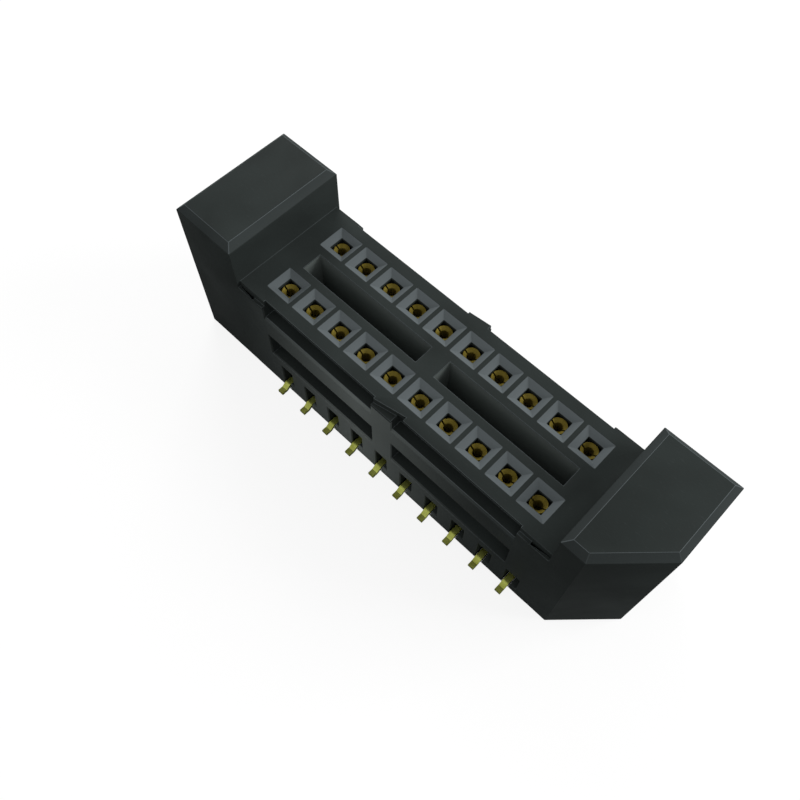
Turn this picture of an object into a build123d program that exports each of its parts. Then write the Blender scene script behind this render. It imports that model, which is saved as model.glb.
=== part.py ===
from build123d import *
import os

os.makedirs("parts", exist_ok=True)

# Board socket strip: two rows of spring contacts in one moulded housing with a tall block at each end.
# Millimetres. +X runs along the rows, -Y is the front, +Z points away from the board.
# The origin lies on the board, under the middle of the housing.

# Contact grid
pitch = 1.27
row_spacing = 2.54
contacts_in_row = 10

# Housing outline
housing_length = 19.8
housing_width = 5.0
block_height = 7.1
mating_gap = 14.2
block_chamfer = 0.25
key_corner = 1.9

# Deck between the blocks
deck_height = 5.25
deck_inset = 0.22
pad_inset = 0.14
shoulder_drop = 0.26
lip_thickness = 0.1
lip_slope = 0.22
corner_pocket_length = 0.75
corner_pocket_depth = 0.5
corner_pocket_wall = 0.03

# Wedges at the middle of the deck that key the mating half
key_wedge_start = -0.4
key_wedge_end = 0.8
key_wedge_notch = 0.24
key_wedge_rib = 0.13

# Centre slots
slot_width = 0.8
slot_depth = 3.2
slot_overrun = 0.2
bridge_width = 0.84

# Grooves along both sides
groove_depth = 0.5
groove_overrun = 0.13
sill_height = 1.95
window_height = 1.36
bar_height = 1.07
bar_chamfer = 0.09
rib_width = 0.92

# Contact cavities
funnel_mouth = 1.1
funnel_depth = 0.18
pin_hole = 0.58
pin_land = 0.1
cavity_width = 0.68

# Slots that let the tails out of the housing, each with a window beside it
notch_height = 1.5
tail_clearance = 0.05
tail_window_width = 0.26
tail_window_sill = 0.4

# Contacts
strip_thickness = 0.13
barrel_radius = 0.3
barrel_rim = 0.02
mouth_recess = 0.15
finger_slit = 0.06
body_height = 0.65
body_clearance = 0.03
tail_width = 0.25
tail_offset = 0.45
tail_exit_height = 0.22
tail_reach = 0.42
foot_length = 0.25
tail_bend = 0.1

# Heights and places that follow from the sizes above
row_y = row_spacing / 2
row_half = pitch * (contacts_in_row - 1) / 2
columns = [pitch * i - row_half for i in range(contacts_in_row)]
wall_y = housing_width / 2
shoulder_height = deck_height - shoulder_drop
funnel_floor = deck_height - funnel_depth
window_top = sill_height + window_height
bar_top = window_top + bar_height
groove_end = row_half + groove_overrun
groove_length = groove_end - rib_width / 2
slot_end = row_half + slot_overrun
slot_length = slot_end - bridge_width / 2
tail_slot_width = tail_width + 2 * tail_clearance
tail_slot_end = tail_offset + tail_slot_width / 2
body_width = cavity_width - 2 * body_clearance
stem_y = -(body_width - strip_thickness) / 2

pad_y = wall_y - pad_inset


# Section of the side grooves, as distances from the middle plane and heights
groove_y = wall_y - groove_depth
edge_y = wall_y - deck_inset
window_section = [
    (groove_y, sill_height),
    (wall_y, sill_height),
    (wall_y, window_top),
    (groove_y, window_top),
]
channel_section = [
    (groove_y, bar_top),
    (wall_y - bar_chamfer, bar_top),
    (wall_y, bar_top - bar_chamfer),
    (wall_y, deck_height),
    (edge_y, deck_height),
    (edge_y, deck_height - lip_thickness),
    (groove_y, deck_height - lip_thickness - lip_slope),
]


def wedge(side, depth):
    """Plan triangle on the deck edge that grows from key_wedge_start to a square end."""
    return Polygon(
        (key_wedge_start, side * pad_y),
        (key_wedge_end, side * pad_y),
        (key_wedge_end, side * pad_y + depth),
        align=None,
    )


def corner_pocket(end, side):
    """Plan triangle in the shoulder, between the deck edge, the wall and a block."""
    block_x = end * mating_gap / 2
    far_x = end * (mating_gap / 2 - corner_pocket_length)
    return Polygon(
        (block_x, side * pad_y),
        (far_x, side * pad_y),
        (far_x, side * (wall_y - corner_pocket_wall)),
        align=None,
    )


with BuildPart() as housing:
    # Plan outline with the polarising corner cut off
    with BuildSketch(Plane.XY) as outline:
        Rectangle(housing_length, housing_width)
        corner = outline.vertices().group_by(Axis.Y)[0].sort_by(Axis.X)[-1]
        chamfer(corner, key_corner)
    extrude(amount=shoulder_height)

    # Raised deck between the blocks, with the rib wedge on its back edge
    with BuildSketch(Plane.XY.offset(shoulder_height)):
        Rectangle(mating_gap, 2 * pad_y)
        wedge(1, key_wedge_rib)
    extrude(amount=shoulder_drop)

    # End blocks
    with BuildSketch(Plane.XY.offset(shoulder_height)):
        add(outline.sketch)
        Rectangle(mating_gap, housing_width, mode=Mode.SUBTRACT)
    extrude(amount=block_height - shoulder_height)
    chamfer(housing.faces().group_by(Axis.Z)[-1].edges(), block_chamfer)

    # Notch wedge in the front edge of the deck
    with BuildSketch(Plane.XY.offset(deck_height)):
        wedge(-1, key_wedge_notch)
    extrude(amount=-shoulder_drop, mode=Mode.SUBTRACT)

    # Side grooves
    for side in (-1, 1):
        for start in (-groove_end, rib_width / 2):
            with BuildSketch(Plane.YZ.offset(start)):
                for section in (window_section, channel_section):
                    Polygon(*[(side * y, z) for y, z in section], align=None)
            extrude(amount=groove_length, mode=Mode.SUBTRACT)

    # Three-cornered pockets in the shoulders, beside the blocks
    with BuildSketch(Plane.XY.offset(shoulder_height)):
        for side in (-1, 1):
            for end in (-1, 1):
                corner_pocket(end, side)
    extrude(amount=-corner_pocket_depth, mode=Mode.SUBTRACT)

    # Centre slots
    with BuildSketch(Plane.XY.offset(deck_height)):
        with Locations((-(slot_end - slot_length / 2), 0), (slot_end - slot_length / 2, 0)):
            Rectangle(slot_length, slot_width)
    extrude(amount=-slot_depth, mode=Mode.SUBTRACT)

    # Pin holes, each with a square lead-in funnel, and the contact cavities under them
    with BuildSketch(Plane.XY.offset(deck_height)):
        with GridLocations(pitch, row_spacing, contacts_in_row, 2):
            Rectangle(pin_hole, pin_hole)
    extrude(amount=-(funnel_depth + pin_land), mode=Mode.SUBTRACT)
    hole_edges = housing.edges(Select.LAST).group_by(Axis.Z)[-1]
    deck_face = housing.faces().filter_by_position(Axis.Z, deck_height, deck_height).sort_by(SortBy.AREA)[-1]
    chamfer(hole_edges, (funnel_mouth - pin_hole) / 2, funnel_depth, reference=deck_face)
    with BuildSketch(Plane.XY):
        with GridLocations(pitch, row_spacing, contacts_in_row, 2):
            Rectangle(cavity_width, cavity_width)
    extrude(amount=funnel_floor - pin_land, mode=Mode.SUBTRACT)

    # Room for the sideways step of each stem, and the tail slots through the walls
    step_start = -tail_slot_width / 2
    step_inner = row_y - stem_y - strip_thickness / 2 - tail_clearance
    step_outer = row_y + cavity_width / 2
    with BuildSketch(Plane.XY):
        for side in (-1, 1):
            step_x = -side * (step_start + tail_slot_end) / 2
            slot_x = -side * tail_offset
            with Locations([(x + step_x, side * (step_inner + step_outer) / 2) for x in columns]):
                Rectangle(tail_slot_end - step_start, step_outer - step_inner)
            with Locations([(x + slot_x, side * (step_inner + wall_y) / 2) for x in columns]):
                Rectangle(tail_slot_width, wall_y - step_inner)
    extrude(amount=notch_height, mode=Mode.SUBTRACT)

    # Window beside each tail slot
    with BuildSketch(Plane.XY.offset(tail_window_sill)):
        for side in (-1, 1):
            window_x = -side * (tail_slot_end + tail_window_width / 2)
            with Locations([(x + window_x, side * (step_inner + wall_y) / 2) for x in columns]):
                Rectangle(tail_window_width, wall_y - step_inner)
    extrude(amount=notch_height - tail_window_sill, mode=Mode.SUBTRACT)

housing.part.label = "housing"
export_step(housing.part, "parts/housing.step")


def make_contact(x, side):
    """One formed contact: a two-fingered barrel, a square body, a stepped stem and a gull-wing tail."""
    mouth = funnel_floor - mouth_recess
    body_bottom = notch_height + tail_clearance
    body_top = body_bottom + body_height
    step_top = notch_height - tail_clearance
    step_bottom = step_top - tail_offset
    foot_y = row_y - wall_y - tail_reach
    foot_z = strip_thickness / 2
    exit_z = tail_exit_height
    heel_z = exit_z - strip_thickness / 2
    base = Plane((x, side * row_y, 0), x_dir=(-side, 0, 0), z_dir=(0, 0, 1))
    profile_plane = Plane(base.origin, x_dir=base.x_dir, z_dir=-base.y_dir)
    tail_plane = Plane(base.origin, x_dir=base.y_dir, z_dir=base.x_dir)

    with BuildPart() as contact:
        # Square body that is held in the cavity
        with BuildSketch(base.offset(body_bottom)):
            Rectangle(body_width, body_width)
        extrude(amount=body_height)

        # Round barrel on the body, with a lead-in at its mouth
        with BuildSketch(base.offset(body_top)):
            Circle(barrel_radius)
            Circle(barrel_radius - strip_thickness, mode=Mode.SUBTRACT)
        extrude(amount=mouth - body_top)
        mouth_edge = contact.edges().group_by(Axis.Z)[-1].sort_by(SortBy.LENGTH)[0]
        chamfer(mouth_edge, strip_thickness - barrel_rim)

        # A slit across the barrel parts it into two fingers
        with BuildSketch(base.offset(body_top)):
            Rectangle(2 * barrel_radius, finger_slit)
        extrude(amount=mouth - body_top, mode=Mode.SUBTRACT)

        # Flat stem that steps sideways
        with BuildSketch(profile_plane.offset(-stem_y)):
            with BuildLine():
                Polyline(
                    (-tail_width / 2, body_bottom),
                    (tail_width / 2, body_bottom),
                    (tail_width / 2, step_top),
                    (tail_offset + tail_width / 2, step_bottom),
                    (tail_offset + tail_width / 2, heel_z),
                    (tail_offset - tail_width / 2, heel_z),
                    (tail_offset - tail_width / 2, step_bottom),
                    (-tail_width / 2, step_top),
                    close=True,
                )
            make_face()
        extrude(amount=strip_thickness / 2, both=True)

        # Tail that runs from the heel out through the wall and bends down to a flat foot on the board
        with BuildSketch(tail_plane.offset(tail_offset)):
            with BuildLine():
                FilletPolyline(
                    (stem_y, exit_z),
                    (row_y - wall_y, exit_z),
                    (foot_y + foot_length, foot_z),
                    (foot_y, foot_z),
                    radius=tail_bend,
                )
            trace(line_width=strip_thickness)
        extrude(amount=tail_width / 2, both=True)
    return contact.part


for row, side in (("front", -1), ("back", 1)):
    for number, x in enumerate(columns, start=1):
        contact = make_contact(x, side)
        contact.label = f"contact_{row}_{number:02d}"
        export_step(contact, f"parts/{contact.label}.step")
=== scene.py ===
"""A board socket strip: two rows of gilt spring contacts in one dark moulded housing.

The housing has a tall block at each end, one of them with a cut corner.
"""
import math

import bmesh
import bpy
from mathutils import Matrix, Vector


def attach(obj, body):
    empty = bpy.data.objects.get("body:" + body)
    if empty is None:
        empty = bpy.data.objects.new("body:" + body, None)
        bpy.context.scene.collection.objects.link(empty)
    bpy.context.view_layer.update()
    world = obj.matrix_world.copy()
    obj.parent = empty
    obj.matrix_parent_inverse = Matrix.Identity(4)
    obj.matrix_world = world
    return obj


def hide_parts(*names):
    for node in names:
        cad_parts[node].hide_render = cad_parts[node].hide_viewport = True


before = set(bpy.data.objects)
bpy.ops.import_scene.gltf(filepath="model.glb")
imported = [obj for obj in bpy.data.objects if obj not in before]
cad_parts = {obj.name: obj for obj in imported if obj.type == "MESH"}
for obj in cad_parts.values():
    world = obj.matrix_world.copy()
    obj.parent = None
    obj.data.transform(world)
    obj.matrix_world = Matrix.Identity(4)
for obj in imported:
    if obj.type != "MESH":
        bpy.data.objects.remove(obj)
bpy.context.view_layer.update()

# Sizes are written in millimetres and turned to metres by this factor.
MM = 0.001

# The camera stands above the right end, a little in front of the strip, and looks down on the deck.
camera_place = Vector((8.67, -10.8, 28.94)) * MM
camera_aim = Vector((-0.585, -0.945, 3.0)) * MM
camera_roll = math.radians(1.1)
# The lens and the sensor stay in millimetres.
camera_lens = 36.88
sensor_width = 36.0
nearest_seen = 1 * MM
farthest_seen = 1000 * MM

# Half the length of the deck and half the width over the walls: the bench under them is hidden.
deck_reach = 7.1 * MM
wall_reach = 2.5 * MM

# The mould leaves this radius on the housing's sharp edges. An edge is sharp from this angle up,
# and each is rounded in this many steps.
moulded_edge = 0.03 * MM
edge_angle = math.radians(25)
edge_steps = 2

# Corners closer than this are merged, and triangles that turn by less than this angle are joined.
merge_distance = 0.0001 * MM
flat_angle = math.radians(1)

# Heights on a contact between which the flash of gold on the tail turns to the barrel's thick gold
flash_top = 1.2 * MM
thick_gold_bottom = 1.8 * MM

# The bench is a square, just under the feet so that their faces don't meet its own.
bench_half = 400 * MM
bench_drop = 0.002 * MM

# The lamps are turned to this point in the middle of the part, in millimetres.
lamp_aim = Vector((0, 0, 4))


def linear(hex_colour):
    """An sRGB colour such as #808080 as linear red, green, blue and an alpha of 1."""
    channels = [int(hex_colour[i : i + 2], 16) / 255 for i in (1, 3, 5)]
    return [c / 12.92 if c <= 0.04045 else ((c + 0.055) / 1.055) ** 2.4 for c in channels] + [1.0]


def add_node(owner, kind, inputs=None, **settings):
    """Adds one node to a material or world, with its settings, and fills or links each input given."""
    node = owner.node_tree.nodes.new("ShaderNode" + kind)
    for name, value in settings.items():
        setattr(node, name, value)
    for name, value in (inputs or {}).items():
        if isinstance(value, bpy.types.NodeSocket):
            owner.node_tree.links.new(value, node.inputs[name])
        else:
            node.inputs[name].default_value = value
    return node


def set_ramp(ramp, *stops):
    """Gives a colour ramp its two stops, each a place from 0 to 1 and an sRGB colour."""
    for element, (place, colour) in zip(ramp.color_ramp.elements, stops):
        element.position = place
        element.color = linear(colour)


def new_material(name):
    """An empty node material and its object coordinates, which are metres in the part's own frame."""
    material = bpy.data.materials.new(name)
    material.use_nodes = True
    material.node_tree.nodes.clear()
    return material, add_node(material, "TexCoord").outputs["Object"]


def seen_in_gloss(owner):
    """Two sockets: 1 for what the camera sees itself, and 1 for what shows in gloss or through glass."""
    path = add_node(owner, "LightPath")
    gloss_or_glass = add_node(
        owner, "Math",
        {0: path.outputs["Is Glossy Ray"], 1: path.outputs["Is Transmission Ray"]},
        operation="MAXIMUM",
    )
    return path.outputs["Is Camera Ray"], gloss_or_glass.outputs[0]


def shares_of(owner, place, centre, half_size):
    """How far each point lies from a centre along X, Y and Z, as shares of three half sizes."""
    offset = add_node(owner, "VectorMath", {0: place, 1: centre}, operation="SUBTRACT")
    distance = add_node(owner, "VectorMath", {0: offset.outputs[0]}, operation="ABSOLUTE")
    shares = add_node(owner, "VectorMath", {0: distance.outputs[0], 1: half_size}, operation="DIVIDE")
    return add_node(owner, "SeparateXYZ", {"Vector": shares.outputs[0]}).outputs


def glass_filled_lcp():
    """Black glass-filled liquid crystal polymer, injection moulded in a spark-eroded tool.

    The skin is nearly matt, with a fine eroded grain, pale flecks where glass fibres lie in the surface,
    and slow flow marks that run from the gate and change its tone and gloss a little. Faces that slope
    between wall and deck, the funnels' slopes, chamfers and rounded edges, are painted paler as a
    painted highlight. All within the centre slots is painted paler, as painted light in their depths.
    The bars, rib and low wall along both sides are painted paler towards their middle, a painted
    highlight.
    """
    material, place = new_material("glass_filled_lcp")
    # The eroded grain is about 0.03 mm across, too fine to show, so it is drawn three times as coarse.
    grain_size = 0.09 * MM
    grain_depth = 0.006 * MM
    # The fibres are 0.01 mm thick and a few tenths long, and lie along the rows as the plastic flows.
    # They are drawn five times as thick.
    fibre_size = 0.05 * MM
    fibre_stretch = (0.25, 1.0, 1.0)
    # Fibres lie bare only where their noise is high, and the barest show this share of their own colour.
    fibre_shows, fibre_bare, fleck_share = 0.62, 0.8, 0.05
    # Flow marks, the range of their noise that is used, and the roughness at its two ends
    flow_size = 3.0 * MM
    flow_low, flow_high = 0.3, 0.7
    rough_at_low, rough_at_high = 0.54, 0.46
    # How far up a face looks, from 0 on a wall to 1 on the deck: a chamfer is 0.71 and a funnel's
    # slope 0.82. The painted highlight grows between the first two values and fades out between the last
    # two.
    steepest_highlit, fully_highlit = 0.69, 0.82
    level_from, level_to = 0.9, 0.97
    # The box that holds both centre slots, from just below their floor to just below the deck
    slot_centre = (0, 0, 3.6 * MM)
    slot_half = (7.0 * MM, 0.43 * MM, 1.63 * MM)
    # Where the painted highlight on the sides lies: its length, the outer faces, and the height to the
    # deck
    highlight_centre = (-1.2 * MM, 0, 2.2 * MM)
    highlight_half = (6.5 * MM, 2.42 * MM, 2.7 * MM)
    highlight_fade = 1.5

    grain = add_node(material, "TexNoise", {"Vector": place, "Scale": 1 / grain_size, "Detail": 3.0})
    along_rows = add_node(material, "Mapping", {"Vector": place, "Scale": fibre_stretch})
    fibres = add_node(
        material, "TexNoise",
        {"Vector": along_rows.outputs[0], "Scale": 1 / fibre_size, "Detail": 1.0},
    )
    fleck = add_node(
        material, "MapRange",
        {
            "Value": fibres.outputs["Fac"],
            "From Min": fibre_shows,
            "From Max": fibre_bare,
            "To Max": fleck_share,
        },
    )
    flow = add_node(
        material, "TexNoise",
        {"Vector": place, "Scale": 1 / flow_size, "Detail": 2.0, "Distortion": 0.6},
    )
    skin = add_node(material, "ValToRGB", {"Fac": flow.outputs["Fac"]})
    set_ramp(skin, (flow_low, "#272B2A"), (flow_high, "#2E3332"))
    flecked = add_node(
        material, "Mix",
        {"Factor": fleck.outputs[0], "A": skin.outputs["Color"], "B": linear("#5E6466")},
        data_type="RGBA",
    )

    # Faces that slope between a steep wall and a level deck are painted paler: a painted highlight.
    facing = add_node(material, "NewGeometry").outputs["True Normal"]
    rise = add_node(material, "SeparateXYZ", {"Vector": facing}).outputs["Z"]
    off_wall = add_node(
        material, "MapRange",
        {"Value": rise, "From Min": steepest_highlit, "From Max": fully_highlit},
    )
    off_level = add_node(
        material, "MapRange",
        {"Value": rise, "From Min": level_to, "From Max": level_from},
    )
    slope = add_node(
        material, "Math",
        {0: off_wall.outputs[0], 1: off_level.outputs[0]},
        operation="MULTIPLY",
    )
    slope_highlit = add_node(
        material, "Mix",
        {"Factor": slope.outputs[0], "A": flecked.outputs["Result"], "B": linear("#565C5E")},
        data_type="RGBA",
    )

    # All that lies in the slots' box is painted paler: painted light in the slots' depths.
    slot_share = shares_of(material, place, slot_centre, slot_half)
    across = add_node(material, "Math", {0: slot_share["X"], 1: slot_share["Y"]}, operation="MAXIMUM")
    farthest = add_node(
        material, "Math",
        {0: across.outputs[0], 1: slot_share["Z"]},
        operation="MAXIMUM",
    )
    in_slot = add_node(material, "Math", {0: farthest.outputs[0], 1: 1.0}, operation="LESS_THAN")
    slot_painted_light = add_node(
        material, "Mix",
        {"Factor": in_slot.outputs[0], "A": slope_highlit.outputs["Result"], "B": linear("#555B59")},
        data_type="RGBA",
    )

    # The outer faces under the deck are painted paler, most at the middle: a painted highlight.
    highlight_share = shares_of(material, place, highlight_centre, highlight_half)
    on_side = add_node(material, "Math", {0: highlight_share["Y"], 1: 1.0}, operation="GREATER_THAN")
    below_deck = add_node(material, "Math", {0: highlight_share["Z"], 1: 1.0}, operation="LESS_THAN")
    on_bars = add_node(
        material, "Math",
        {0: on_side.outputs[0], 1: below_deck.outputs[0]},
        operation="MULTIPLY",
    )
    near_middle = add_node(
        material, "MapRange",
        {"Value": highlight_share["X"], "From Min": 1.0, "From Max": 0.0},
    )
    faded = add_node(material, "Math", {0: near_middle.outputs[0], 1: highlight_fade}, operation="POWER")
    painted_highlight = add_node(
        material, "Math",
        {0: on_bars.outputs[0], 1: faded.outputs[0]},
        operation="MULTIPLY",
    )
    with_highlight = add_node(
        material, "Mix",
        {"Factor": painted_highlight.outputs[0], "A": slot_painted_light.outputs["Result"], "B": linear("#6A706E")},
        data_type="RGBA",
    )

    gloss = add_node(
        material, "MapRange",
        {
            "Value": flow.outputs["Fac"],
            "From Min": flow_low,
            "From Max": flow_high,
            "To Min": rough_at_low,
            "To Max": rough_at_high,
        },
    )
    bump = add_node(
        material, "Bump",
        {"Height": grain.outputs["Fac"], "Strength": 0.35, "Distance": grain_depth},
    )
    shader = add_node(
        material, "BsdfPrincipled",
        {
            "Base Color": with_highlight.outputs["Result"],
            "Roughness": gloss.outputs[0],
            "Normal": bump.outputs[0],
            "IOR": 1.5,
            "Specular IOR Level": 0.02,
        },
    )
    add_node(material, "OutputMaterial", {"Surface": shader.outputs[0]})
    return material


def gold_plated_strip():
    """Phosphor bronze strip, stamped and formed, plated with gold over nickel.

    The barrel, where the pin wipes, has a thick hard gold, deep in colour and satin. The tail, which is
    soldered, has only a flash of it, paler and greener, over bright nickel. Fine rolling lines run up
    the strip and soften both, and the colour clouds a little with the thickness of the plating.
    """
    material, place = new_material("gold_plated_strip")
    # Rolling lines are a few thousandths of a millimetre apart, drawn coarser so that they show.
    roll_line = 0.03 * MM
    roll_depth = 0.003 * MM
    roll_stretch = (1.0, 1.0, 0.12)
    # Clouds in the plating, and the range of their noise that is used
    cloud_size = 0.4 * MM
    cloud_low, cloud_high = 0.3, 0.7
    # Roughness from the smooth to the rough of the rolling lines, for the flash and for the thick gold
    flash_smooth, flash_rough = 0.42, 0.55
    thick_smooth, thick_rough = 0.66, 0.76

    up_strip = add_node(material, "Mapping", {"Vector": place, "Scale": roll_stretch})
    lines = add_node(
        material, "TexNoise",
        {"Vector": up_strip.outputs[0], "Scale": 1 / roll_line, "Detail": 2.0},
    )
    clouds = add_node(material, "TexNoise", {"Vector": place, "Scale": 1 / cloud_size, "Detail": 1.0})
    flash = add_node(material, "ValToRGB", {"Fac": clouds.outputs["Fac"]})
    set_ramp(flash, (cloud_low, "#8C9042"), (cloud_high, "#AAB05C"))
    thick = add_node(material, "ValToRGB", {"Fac": clouds.outputs["Fac"]})
    set_ramp(thick, (cloud_low, "#6E6228"), (cloud_high, "#847636"))

    height = add_node(material, "SeparateXYZ", {"Vector": place}).outputs["Z"]
    on_barrel = add_node(
        material, "MapRange",
        {"Value": height, "From Min": flash_top, "From Max": thick_gold_bottom},
    )
    gold = add_node(
        material, "Mix",
        {"Factor": on_barrel.outputs[0], "A": flash.outputs["Color"], "B": thick.outputs["Color"]},
        data_type="RGBA",
    )
    bright = add_node(
        material, "MapRange",
        {"Value": lines.outputs["Fac"], "To Min": flash_smooth, "To Max": flash_rough},
    )
    satin = add_node(
        material, "MapRange",
        {"Value": lines.outputs["Fac"], "To Min": thick_smooth, "To Max": thick_rough},
    )
    gloss = add_node(
        material, "Mix",
        {"Factor": on_barrel.outputs[0], "A": bright.outputs[0], "B": satin.outputs[0]},
        data_type="FLOAT",
    )
    bump = add_node(
        material, "Bump",
        {"Height": lines.outputs["Fac"], "Strength": 0.25, "Distance": roll_depth},
    )
    shader = add_node(
        material, "BsdfPrincipled",
        {
            "Base Color": gold.outputs["Result"],
            "Metallic": 1.0,
            "Roughness": gloss.outputs[0],
            "Normal": bump.outputs[0],
        },
    )
    add_node(material, "OutputMaterial", {"Surface": shader.outputs[0]})
    return material


def white_bench():
    """White laminate bench top with a fine tooth.

    The camera sees it white but for the part's own soft shadow, and wholly white further off. Gloss sees
    it dimmer, and what it throws back on the part is what a grey card would, so dark walls stay dark.
    Under the deck it has no white of its own, which would show through the tail slots, and from below it
    is clear.
    """
    material, place = new_material("white_bench")
    tooth_size = 0.4 * MM
    tooth_depth = 0.01 * MM
    shadow_near, shadow_far = 30 * MM, 100 * MM
    own_white_near, own_white_in_gloss = 0.85, 0.06

    tooth = add_node(material, "TexNoise", {"Vector": place, "Scale": 1 / tooth_size, "Detail": 2.0})
    bump = add_node(
        material, "Bump",
        {"Height": tooth.outputs["Fac"], "Strength": 0.05, "Distance": tooth_depth},
    )
    by_camera, by_gloss = seen_in_gloss(material)
    card = add_node(
        material, "Mix",
        {"Factor": by_camera, "A": linear("#606060"), "B": linear("#FFFFFF")},
        data_type="RGBA",
    )
    lit = add_node(
        material, "BsdfPrincipled",
        {"Base Color": card.outputs["Result"], "Roughness": 0.8, "Normal": bump.outputs[0]},
    )
    white = add_node(material, "Emission", {"Color": linear("#FFFFFF"), "Strength": 1.0})

    # The share of its own white grows from near the part to a full 1 far off.
    away = add_node(material, "VectorMath", {0: place}, operation="LENGTH")
    near_share = add_node(
        material, "MapRange",
        {
            "Value": away.outputs["Value"],
            "From Min": shadow_near,
            "From Max": shadow_far,
            "To Min": own_white_near,
        },
    )
    camera_share = add_node(
        material, "Math",
        {0: by_camera, 1: near_share.outputs[0]},
        operation="MULTIPLY",
    )
    share = add_node(
        material, "Math",
        {0: by_gloss, 1: own_white_in_gloss, 2: camera_share.outputs[0]},
        operation="MULTIPLY_ADD",
    )

    # Under the deck that share is none.
    side = add_node(material, "SeparateXYZ", {"Vector": place})
    beyond = []
    for axis, reach in (("X", deck_reach), ("Y", wall_reach)):
        distance = add_node(material, "Math", {0: side.outputs[axis]}, operation="ABSOLUTE")
        past_reach = add_node(
            material, "Math",
            {0: distance.outputs[0], 1: reach},
            operation="GREATER_THAN",
        )
        beyond.append(past_reach)
    clear_of_part = add_node(
        material, "Math",
        {0: beyond[0].outputs[0], 1: beyond[1].outputs[0]},
        operation="MAXIMUM",
    )
    own_white = add_node(
        material, "Math",
        {0: share.outputs[0], 1: clear_of_part.outputs[0]},
        operation="MULTIPLY",
    )
    from_above = add_node(
        material, "MixShader",
        {0: own_white.outputs[0], 1: lit.outputs[0], 2: white.outputs[0]},
    )
    from_below = add_node(material, "BsdfTransparent")
    under = add_node(material, "NewGeometry").outputs["Backfacing"]
    top = add_node(material, "MixShader", {0: under, 1: from_above.outputs[0], 2: from_below.outputs[0]})
    add_node(material, "OutputMaterial", {"Surface": top.outputs[0]})
    return material


def edged_copy(node_name, piece_name, material, radius):
    """A copy of a solid, with flat faces and rounded edges, that takes the plain solid's place."""
    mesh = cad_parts[node_name].data.copy()
    mesh.name = piece_name
    work = bmesh.new()
    work.from_mesh(mesh)
    bmesh.ops.remove_doubles(work, verts=work.verts, dist=merge_distance)
    bmesh.ops.join_triangles(
        work, faces=work.faces, angle_face_threshold=flat_angle, angle_shape_threshold=math.pi
    )
    for face in work.faces:
        face.smooth = True
    work.to_mesh(mesh)
    work.free()
    mesh.materials.clear()
    mesh.materials.append(material)
    piece = bpy.data.objects.new(piece_name, mesh)
    bpy.context.scene.collection.objects.link(piece)
    rounding = piece.modifiers.new("edges", "BEVEL")
    rounding.width = radius
    rounding.segments = edge_steps
    rounding.limit_method = "ANGLE"
    rounding.angle_limit = edge_angle
    rounding.harden_normals = True
    rounding.use_clamp_overlap = True
    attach(piece, "root")
    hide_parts(node_name)


def add_camera():
    """The camera, turned to its aim and then rolled slightly."""
    data = bpy.data.cameras.new("camera")
    data.sensor_width = sensor_width
    data.lens = camera_lens
    data.clip_start = nearest_seen
    data.clip_end = farthest_seen
    camera = bpy.data.objects.new("camera", data)
    bpy.context.scene.collection.objects.link(camera)
    look = (camera_aim - camera_place).to_track_quat("-Z", "Y").to_matrix().to_4x4()
    camera.matrix_world = Matrix.Translation(camera_place) @ look @ Matrix.Rotation(camera_roll, 4, "Z")
    bpy.context.scene.camera = camera


def add_bench(material):
    """A flat bench top under the part."""
    corners = [
        (-bench_half, -bench_half, 0),
        (bench_half, -bench_half, 0),
        (bench_half, bench_half, 0),
        (-bench_half, bench_half, 0),
    ]
    mesh = bpy.data.meshes.new("bench")
    mesh.from_pydata(corners, [], [(0, 1, 2, 3)])
    mesh.materials.append(material)
    bench = bpy.data.objects.new("bench", mesh)
    bpy.context.scene.collection.objects.link(bench)
    bench.location.z = -bench_drop


def soft_lamp(name, place, size, watts):
    """A square white lamp, its place and size in millimetres, turned to the middle of the part."""
    data = bpy.data.lights.new(name, "AREA")
    data.size = size * MM
    data.energy = watts
    lamp = bpy.data.objects.new(name, data)
    bpy.context.scene.collection.objects.link(lamp)
    lamp.location = Vector(place) * MM
    lamp.rotation_mode = "QUATERNION"
    lamp.rotation_quaternion = (lamp_aim - Vector(place)).to_track_quat("-Z", "Y")


def add_light():
    """Soft studio light: two low lamps behind the part, and a white room.

    The camera and gloss see the room at full white, and matt faces get a share of it.
    """
    soft_lamp("left_back", place=(-66, 54, 48), size=50, watts=0.042)
    soft_lamp("right_back", place=(62, 58, 48), size=50, watts=0.07)

    room_on_matt = 0.68
    room = bpy.data.worlds.new("room")
    room.use_nodes = True
    room.node_tree.nodes.clear()
    by_camera, by_gloss = seen_in_gloss(room)
    seen = add_node(room, "Math", {0: by_camera, 1: by_gloss}, operation="MAXIMUM")
    strength = add_node(room, "MapRange", {"Value": seen.outputs[0], "To Min": room_on_matt})
    walls = add_node(room, "Background", {"Color": linear("#FFFFFF"), "Strength": strength.outputs[0]})
    add_node(room, "OutputWorld", {"Surface": walls.outputs[0]})
    bpy.context.scene.world = room


def main():
    """Dresses the part, and adds the bench, the camera and the light."""
    edged_copy("housing", "housing_moulding", glass_filled_lcp(), moulded_edge)
    gold = gold_plated_strip()
    for name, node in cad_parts.items():
        if name.startswith("contact"):
            for material_slot in node.material_slots:
                material_slot.material = gold
    add_bench(white_bench())
    add_camera()
    add_light()
    bpy.context.scene.view_settings.view_transform = "Standard"


main()
